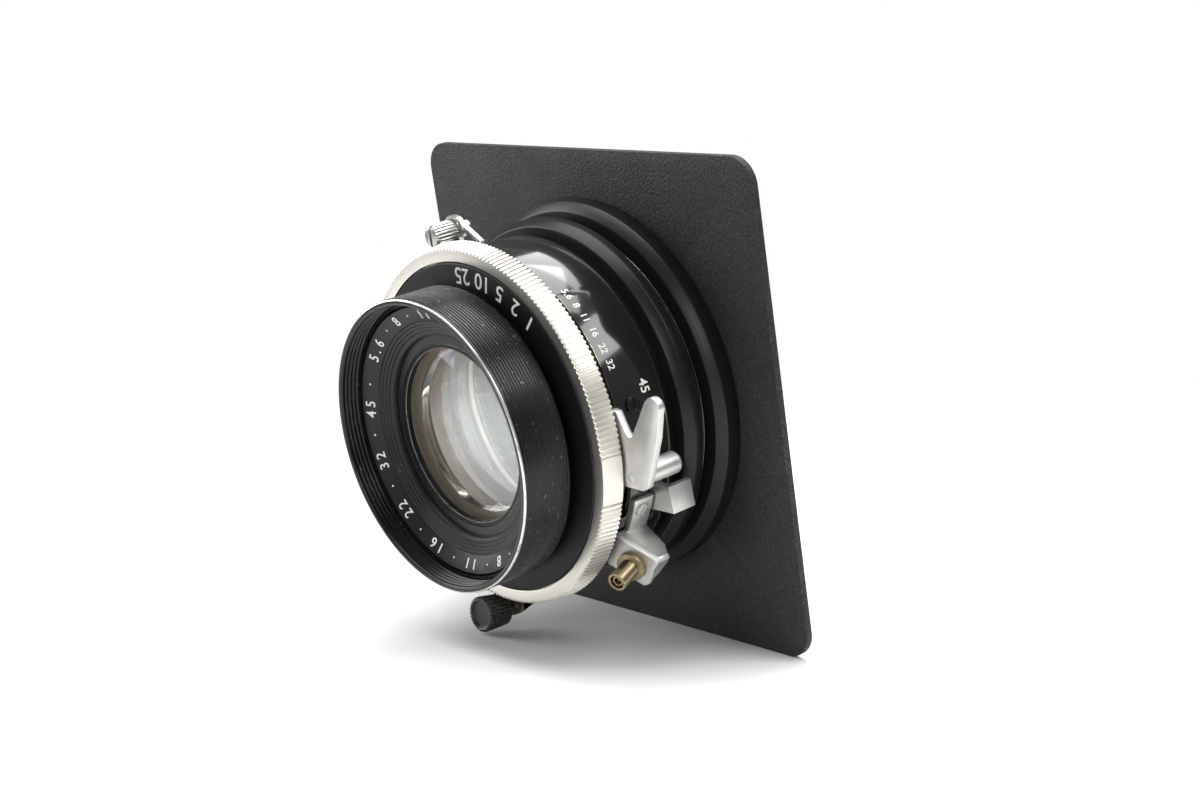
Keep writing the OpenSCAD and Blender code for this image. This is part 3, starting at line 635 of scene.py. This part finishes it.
def makeElements():
    for node, (rim, rear, front, rearCurve, frontCurve, material) in elements.items():
        profile = faceLine(rim, rear, rearCurve, -1) + faceLine(rim, front, frontCurve, 1)[::-1]
        piece = turnedPiece(node + "_polished", profile, 128)
        finishPiece(piece, material, "housing", [node], smooth=30)


makeElements()
print("glass made")


# fine flutes round the rim, and one smooth stretch between two angles
speedRing = {"flutes": 213, "depth": 0.28, "lip": 27.72, "boss": 21.98, "taper": 0.45, "recess": 26.95,
             "web": 0.9, "floor": 1.65, "smooth": (-17.5, -2.5)}


def makeSpeedRing():
    low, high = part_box("speed_ring")
    outer, rear, front = high.x / mm, -high.y / mm, -low.y / mm
    boss, lip, recess = speedRing["boss"], speedRing["lip"], speedRing["recess"]
    floor, web, crown = rear + speedRing["floor"], front - speedRing["web"], outer - speedRing["taper"]
    profile = [(boss, floor), (lip, floor), (lip, rear), (outer - 0.15, rear), (outer, rear + 0.15),
               (crown, front - 0.3), (crown - 0.1, front - 0.1), (crown - 0.22, front),
               (recess + 0.25, front), (recess + 0.05, front - 0.06), (recess, front - 0.2), (recess, web),
               (boss, web)]
    rimStart = crown - 0.45
    piece = flutedPiece("speedRing", profile, speedRing["flutes"], speedRing["depth"],
                        lambda radius, depth: radius > rimStart)
    start, end = speedRing["smooth"]
    outward = outer / (outer - speedRing["depth"])
    crests = {}  # the largest radius at each depth, which the smooth stretch is raised to
    for vertex in piece.data.vertices:
        depth = round(vertex.co.y / mm, 2)
        crests[depth] = max(crests.get(depth, 0), radiusOf(vertex.co))
    selectVertices(piece, lambda p: start < angleOf(p) < end
                   and rimStart - 0.35 < radiusOf(p) < crests[round(p[1] / mm, 2)] - 0.1)
    bpy.ops.transform.resize(value=(outward, 1, outward), center_override=(0, 0, 0))
    bpy.ops.object.mode_set(mode="OBJECT")
    finishPiece(piece, satinChrome, "speed_ring", ["speed_ring"], smooth=25)


makeSpeedRing()
print("speed ring made")


# ribs outside, filter thread inside
frontBarrel = {"ribs": 15, "ribDepth": 0.13, "ribStart": 30.7, "ribEnd": 38.75, "threads": 4,
               "threadDepth": 0.3, "threadFloor": 36.0, "wall": 22.6, "ringBore": 21.95, "seat": 32.7,
               "glassBore": 14.95, "throat": 13, "flange": 30}


def makeFrontBarrel():
    low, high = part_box("front_barrel")
    outer, front, rear = high.x / mm, -low.y / mm, -high.y / mm
    throat, flange = frontBarrel["throat"], frontBarrel["flange"]
    profile = [(throat, rear), (14.6, rear), (14.7, rear + 0.1), (14.7, rear + 5), (19.5, rear + 5),
               (19.5, flange), (outer - 0.5, flange), (outer - 0.15, flange + 0.2), (outer, flange + 0.45)]
    pitch = (frontBarrel["ribEnd"] - frontBarrel["ribStart"]) / frontBarrel["ribs"]
    deep = outer - frontBarrel["ribDepth"]
    for rib in range(frontBarrel["ribs"]):
        start = frontBarrel["ribStart"] + rib * pitch
        profile += [(outer, start), (deep, start + pitch * 0.2), (deep, start + pitch * 0.4),
                    (outer, start + pitch * 0.6)]
    wall, mouth = frontBarrel["wall"], front - 0.4
    profile += [(outer, front - 0.42), (outer - 0.08, front - 0.16), (outer - 0.3, front - 0.02),
                (wall + 0.35, front), (wall + 0.1, front - 0.15), (wall, mouth)]
    floor = frontBarrel["threadFloor"]
    pitch = (mouth - floor) / frontBarrel["threads"]
    for turn in range(frontBarrel["threads"]):
        start = mouth - turn * pitch
        profile += [(wall, start - pitch * 0.15), (wall + frontBarrel["threadDepth"], start - pitch * 0.45),
                    (wall, start - pitch * 0.85)]
    ringBore, seat, glassBore = frontBarrel["ringBore"], frontBarrel["seat"], frontBarrel["glassBore"]
    profile += [(wall, floor), (ringBore, floor), (ringBore, seat), (glassBore, seat), (glassBore, 29),
                (14.2, rear + 5), (throat, rear + 5)]
    piece = turnedPiece("frontBarrel", profile, 224)
    finishPiece(piece, barrelBlack, "housing", ["front_barrel"], smooth=40)


makeFrontBarrel()
print("front barrel made")


# the small fluted heads are drawn on the axis, then put in their places
apertureKnob = {"angle": -101, "reach": 34, "lean": 8, "start": 22.7, "length": 7.6, "flutes": 28,
                "depth": 0.22}


def makeApertureKnob():
    profile = [(0, 0.22), (1.5, 0.22), (1.5, 0.8), (1.3, 0.9), (1.3, 2.2), (1.8, 2.55), (2.45, 2.75),
               (2.62, 2.95), (2.98, 7.15), (2.9, 7.4), (2.75, 7.55), (2.45, apertureKnob["length"]),
               (2.2, 7.45), (2.1, 7.1), (0, 6.95)]
    piece = flutedPiece("apertureKnob", profile, apertureKnob["flutes"], apertureKnob["depth"],
                        lambda radius, depth: radius > 2.55 and depth > 2.8)
    softenEdges(piece, 0.04, 1, 35)
    turn = Matrix.Rotation(radians(-apertureKnob["angle"]), 4, "Y")
    shift = Matrix.Translation(onCircle(0, apertureKnob["reach"], apertureKnob["start"]))
    lean = Matrix.Rotation(radians(-apertureKnob["lean"]), 4, "Z")
    placePiece(piece, turn @ shift @ lean)
    finishPiece(piece, knobBlack, "aperture", ["aperture_knob"])


lockScrew = {"angle": 110.6, "reach": 31.2, "front": 24.6, "flutes": 22, "depth": 0.2,
             "slot": (0.5, 1.7, 6)}


def makeLockScrew():
    front = lockScrew["front"]
    profile = [(0, 17.2), (1.2, 17.2), (1.3, 17.3), (1.3, 18.1), (0.8, 18.15), (0.8, 20.2), (1.8, 20.2),
               (2, 20.4), (2, 23.95), (1.8, 24.25), (1.6, 24.5), (1.3, front), (0, front)]
    piece = flutedPiece("lockScrew", profile, lockScrew["flutes"], lockScrew["depth"],
                        lambda radius, depth: radius > 1.7)
    bpy.ops.object.select_all(action="DESELECT")
    bpy.ops.mesh.primitive_cube_add(size=mm, location=(0, -front * mm, 0), scale=lockScrew["slot"])
    cutAway(piece, bpy.context.active_object)
    softenEdges(piece, 0.03, 1, 35)
    placePiece(piece, Matrix.Translation(onCircle(lockScrew["angle"], lockScrew["reach"], 0)))
    finishPiece(piece, brightChrome, "lock", ["lock_screw"])


makeApertureKnob()
makeLockScrew()
print("knob and lock screw made")


# how far the figures stand out, how much fuller they are than the font, and their size for its height
figureType = {"raised": 0.015, "fuller": 0.02, "size": 1.38}


def writeFigures(name, figures, body):
    # figures holds text, height, place, reading direction, up direction
    made = []
    for text, height, place, along, up in figures:
        bpy.ops.object.select_all(action="DESELECT")
        bpy.ops.object.text_add()
        piece = bpy.context.active_object
        piece.data.body = text
        piece.data.size = height * figureType["size"] * mm
        piece.data.align_x = "CENTER"
        piece.data.align_y = "CENTER"
        piece.data.extrude = figureType["raised"] * mm
        piece.data.offset = figureType["fuller"] * mm
        piece.data.resolution_u = 4
        bpy.ops.object.convert(target="MESH")
        piece = bpy.context.active_object
        out = along.cross(up)
        placePiece(piece, Matrix(((*along, 0), (*up, 0), (*out, 0), (0, 0, 0, 1))).transposed())
        piece.data.transform(Matrix.Translation(place))
        made.append(piece)
    bpy.ops.object.select_all(action="DESELECT")
    for piece in made:
        piece.select_set(True)
    bpy.context.view_layer.objects.active = made[0]
    bpy.ops.object.join()
    piece = made[0]
    piece.name = name
    bpy.ops.object.mode_set(mode="EDIT")
    bpy.ops.mesh.select_all(action="SELECT")
    bpy.ops.mesh.remove_doubles(threshold=2 * seam)
    bpy.ops.object.mode_set(mode="OBJECT")
    finishPiece(piece, figureWhite, body)


def around(angle):
    # counter-clockwise direction at an angle, as seen from the front
    return Vector((-sin(radians(angle)), 0, cos(radians(angle))))


def outwards(angle):
    return Vector((cos(radians(angle)), 0, sin(radians(angle))))


# dial numbers only; each scale has its figures' height, and the radius and depth that they stand at
ringScale = {"marks": " 5.6 · 8 · 11 · 16 · 22 · 32 · 45 · " * 2, "start": 150, "height": 1.75,
             "radius": 20.25, "depth": 35.22, "slope": (0.888, 0.46)}
plateScale = {"marks": {"1": 48.5, "2": 57, "5": 66, "10": 75.5, "25": 87}, "height": 2.75, "radius": 25.0,
              "depth": 28.51}
caseScale = {"marks": {"5.6": 51, "8": 46, "11": 41, "16": 35.5, "22": 29.5, "32": 24}, "height": 1.25,
             "radius": 27.6, "depth": 21.3}
caseStop = {"marks": {"45": 14.3}, "height": 1.7, "radius": 27.6, "depth": 16.7}


def ringFigures():
    # round the sloping ring, read clockwise, tops outwards
    slope = ringScale["slope"]
    step = 360 / len(ringScale["marks"])
    rows = []
    for index, mark in enumerate(ringScale["marks"]):
        if mark == " ":
            continue
        angle = ringScale["start"] - index * step
        up = outwards(angle) * slope[0] + forward * slope[1]
        place = onCircle(angle, ringScale["radius"], ringScale["depth"])
        rows.append((mark, ringScale["height"], place, -around(angle), up))
    return rows


def scaleFigures(scale, onCase):
    # on the case they read clockwise, tops to the rear; on the plate the other way, tops inwards
    rows = []
    for mark, angle in scale["marks"].items():
        place = onCircle(angle, scale["radius"], scale["depth"])
        along, up = (-around(angle), -forward) if onCase else (around(angle), -outwards(angle))
        rows.append((mark, scale["height"], place, along, up))
    return rows


writeFigures("ringFigures", ringFigures(), "housing")
writeFigures("plateFigures", scaleFigures(plateScale, False), "housing")
writeFigures("caseFigures", scaleFigures(caseScale, True) + scaleFigures(caseStop, True), "housing")
print("figures made")


# lean in degrees, clear in millimetres; the disc's radius and the stretch it fades over are in metres
floorSet = {"lean": 10.4, "radius": 0.32, "clear": 0.05, "fade": (0.13, 0.3)}


def makeFloor():
    up = Vector((0, sin(radians(floorSet["lean"])), cos(radians(floorSet["lean"]))))
    touching = []
    for node in ("lens_board", "aperture_knob", "rear_barrel"):
        touching += [up.dot(vertex.co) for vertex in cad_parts[node].data.vertices]
    height = min(touching) - floorSet["clear"] * mm
    bpy.ops.object.select_all(action="DESELECT")
    bpy.ops.mesh.primitive_circle_add(vertices=96, radius=floorSet["radius"], fill_type="NGON")
    floor = bpy.context.active_object
    floor.name = "floor"
    placePiece(floor, Matrix.Translation(up * height) @ up.to_track_quat("Z", "Y").to_matrix().to_4x4())
    material, tree, shader = newMaterial("floorPaper")
    grain = addGroup(tree, surfaceGrain, Size=1.2)
    tree.links.new(mixColours(tree, grain.outputs["Clouds"], (0.86, 0.86, 0.855), (0.88, 0.88, 0.875)),
                   shader.inputs["Base Color"])
    tree.links.new(rangeNode(tree, grain.outputs["Grain"], 0.3, 0.7, 0.7, 0.85), shader.inputs["Roughness"])
    distance = addNode(tree, "ShaderNodeVectorMath",
                       {0: addNode(tree, "ShaderNodeTexCoord").outputs["Object"]}, operation="LENGTH")
    fade = rangeNode(tree, distance.outputs["Value"], *floorSet["fade"], 1.0, 0.0)
    tree.links.new(fade, shader.inputs["Alpha"])
    floor.data.materials.append(material)


studio = {"room": (0.2, 0.2, 0.2), "backdrop": (15.0, 14.8, 14.2), "seen": (1.0, 1.0, 0.993)}


def makeWorld():
    world = bpy.data.worlds.new("studio")
    bpy.context.scene.world = world
    world.use_nodes = True
    tree = world.node_tree
    background = tree.nodes["Background"]
    path = addNode(tree, "ShaderNodeLightPath")
    # only the backdrop behind the board is bright through the glass, so closed blades stay dark
    heading = addNode(tree, "ShaderNodeSeparateXYZ")
    tree.links.new(addNode(tree, "ShaderNodeTexCoord").outputs["Generated"], heading.inputs[0])
    behind = rangeNode(tree, heading.outputs["Y"], -0.05, 0.1, 0, 1)
    through = mathNode(tree, "MULTIPLY", path.outputs["Is Transmission Ray"], behind)
    glow = mixColours(tree, through, studio["room"], studio["backdrop"])
    tree.links.new(mixColours(tree, path.outputs["Is Camera Ray"], glow, studio["seen"]),
                   background.inputs["Color"])


# all of them face the lens
lights = {
    "overheadSoftbox": {"place": (-0.12, 0.05, 0.72), "size": (0.9, 0.7), "power": 9.5},
    "rightSoftbox": {"place": (0.5, 0.25, 0.5), "size": (0.5, 0.3), "power": 2.6},
    "backSoftbox": {"place": (-0.15, 0.62, 0.6), "size": (0.8, 0.34), "power": 3.4},
    "leftSoftbox": {"place": (-0.75, -0.35, 0.35), "size": (0.5, 0.6), "power": 4.0},
    "cameraFill": {"place": (0.45, -0.62, 0.3), "size": (0.35, 0.35), "power": 1.6},
}


def makeLights():
    for name, light in lights.items():
        data = bpy.data.lights.new(name, "AREA")
        data.shape = "RECTANGLE"
        data.size, data.size_y = light["size"]
        data.energy = light["power"]
        lamp = bpy.data.objects.new(name, data)
        bpy.context.scene.collection.objects.link(lamp)
        lamp.location = light["place"]
        lamp.rotation_euler = Vector(light["place"]).to_track_quat("Z", "Y").to_euler()


# angles in degrees, the rest in millimetres
cameraSet = {"azimuth": 51.33, "elevation": 15.44, "roll": -8.22, "distance": 357.1,
             "target": (-2.52, -2.0, -3.29), "lens": 64.47, "sensor": 36.0}


def makeCamera():
    turn, rise, roll = (radians(cameraSet[k]) for k in ("azimuth", "elevation", "roll"))
    back = Vector((sin(turn) * cos(rise), -cos(turn) * cos(rise), sin(rise)))
    right = Vector((cos(turn), sin(turn), 0))
    up = back.cross(right)
    rolledRight = right * cos(roll) + up * sin(roll)
    rolledUp = up * cos(roll) - right * sin(roll)
    place = (Vector(cameraSet["target"]) + back * cameraSet["distance"]) * mm
    data = bpy.data.cameras.new("studioCamera")
    data.lens = cameraSet["lens"]
    data.sensor_width = cameraSet["sensor"]
    data.clip_start = 0.01
    camera = bpy.data.objects.new("studioCamera", data)
    bpy.context.scene.collection.objects.link(camera)
    rows = ((*rolledRight, 0), (*rolledUp, 0), (*back, 0), (0, 0, 0, 1))
    camera.matrix_world = Matrix.Translation(place) @ Matrix(rows).transposed()
    bpy.context.scene.camera = camera


makeFloor()
makeWorld()
makeLights()
makeCamera()
bpy.context.scene.view_settings.view_transform = "Standard"
bpy.context.scene.cycles.max_bounces = 32
bpy.context.scene.cycles.transmission_bounces = 32
print("stage ready")
